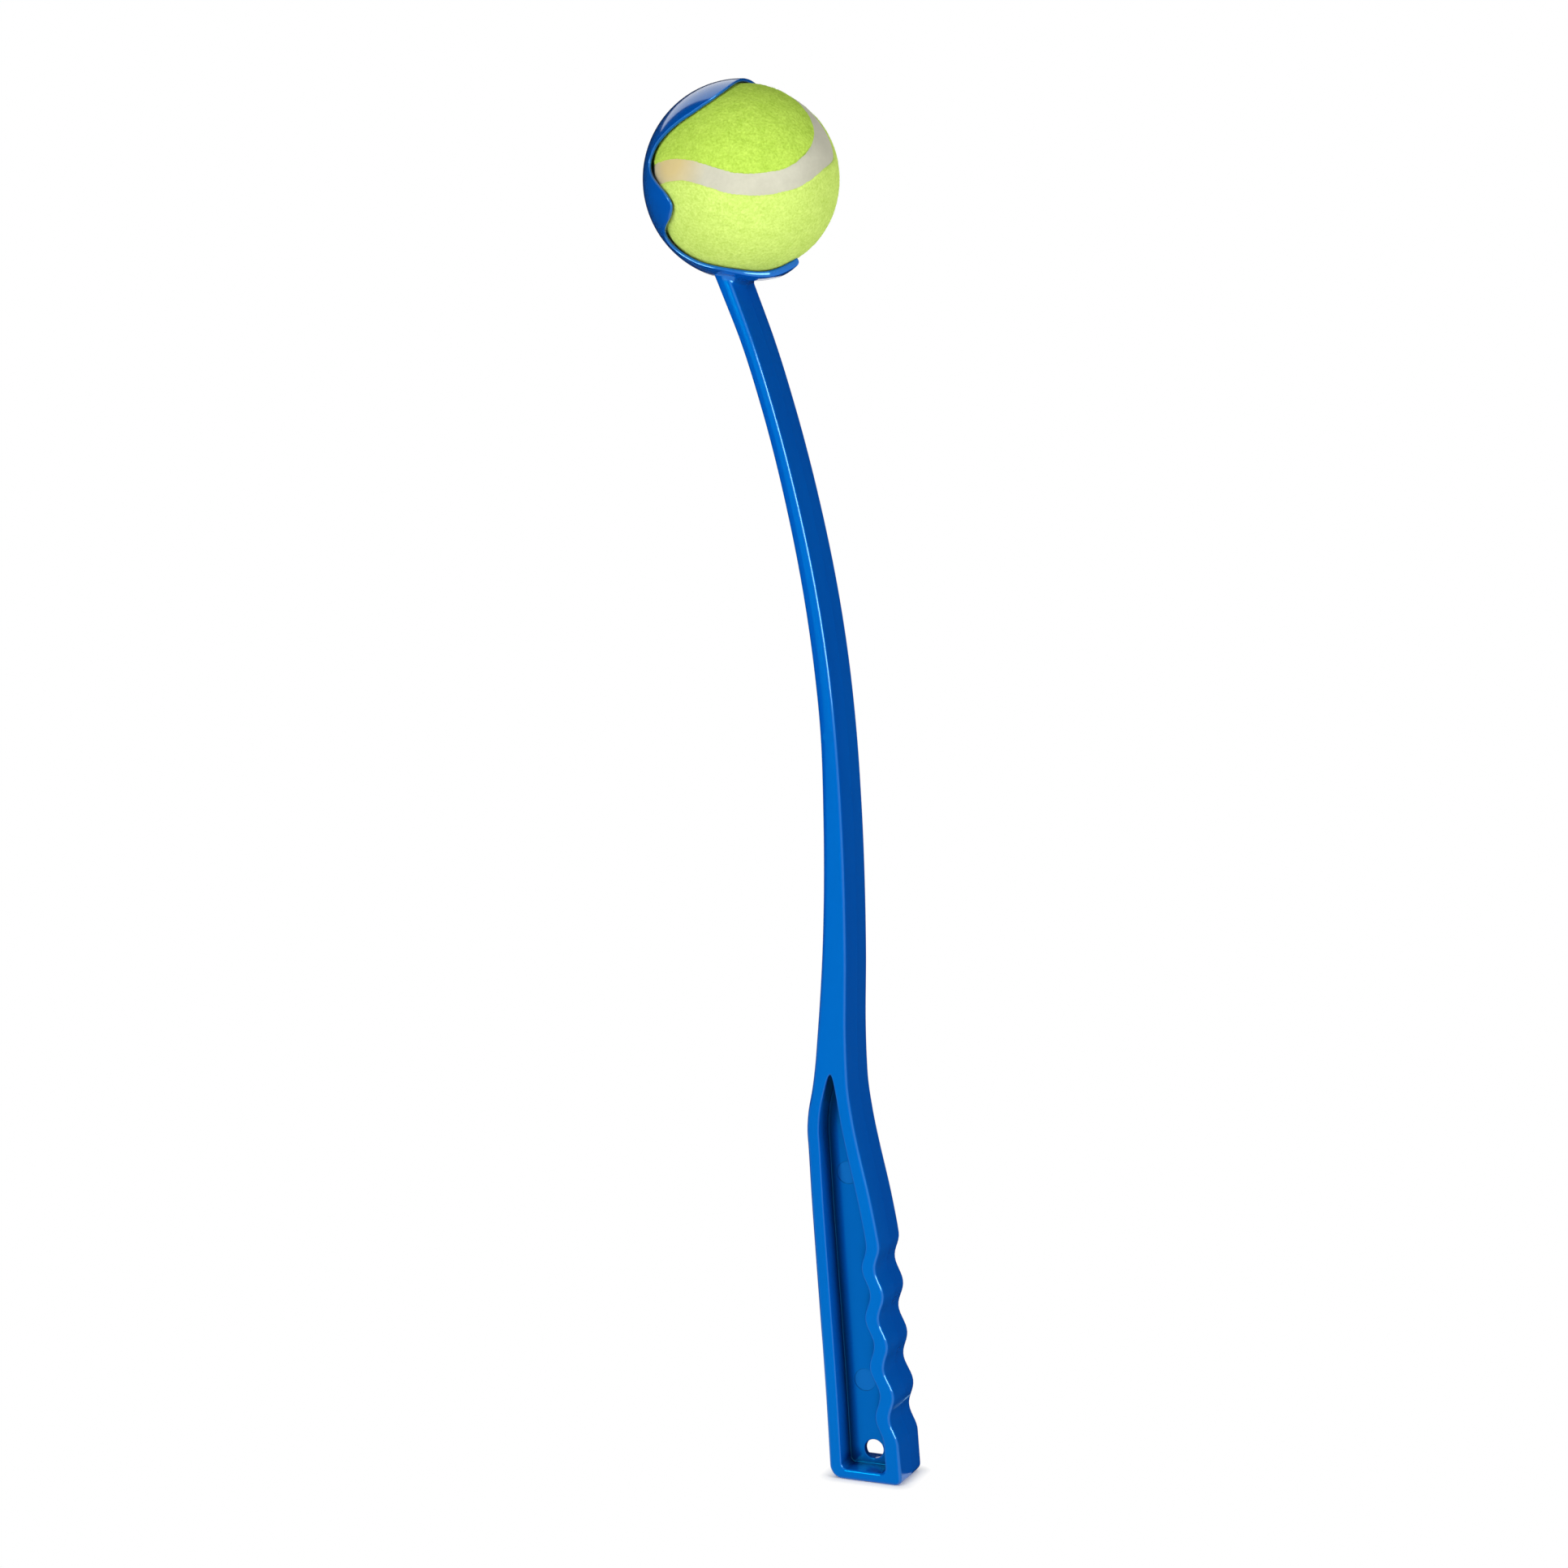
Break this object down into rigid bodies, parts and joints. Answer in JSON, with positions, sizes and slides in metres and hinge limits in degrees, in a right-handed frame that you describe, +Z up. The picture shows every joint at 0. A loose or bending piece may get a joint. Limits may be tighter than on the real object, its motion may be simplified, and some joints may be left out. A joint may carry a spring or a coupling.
{
  "type": "dog ball thrower",
  "caption": "Long-handled ball thrower for dogs: an open cup on a curved springy arm holds a felt ball, above a pocketed grip with finger grooves and a hang hole.",
  "frame": {"origin": "middle of the hand grip, 55 mm above the butt face and halfway between the grip's front and back", "axes": "+Z up the thrower towards the ball, +X the front, where the cup opens and the finger grooves are, Y from side to side"},
  "size_m": [0.0967, 0.063, 0.4785],
  "materials": {
    "moulded_plastic": "glossy blue moulded plastic",
    "ball_felt": "fuzzy yellow-green felt",
    "seam_rubber": "matte off-white rubber",
    "core_rubber": "matte black rubber"
  },
  "bodies": {
    "thrower": {"ball_cup": "moulded_plastic", "throwing_arm": "moulded_plastic", "handle": "moulded_plastic"},
    "ball": {"core_half_upper": "core_rubber", "core_half_lower": "core_rubber", "felt_panel_front": "ball_felt", "felt_panel_rear": "ball_felt", "seam_strip": "seam_rubber"}
  },
  "joints": [
    {"name": "ball_release", "type": "slide", "parent": "thrower", "child": "ball", "axis": [0.9713, 0, 0.2377], "range_m": [0, 0.085]}
  ]
}
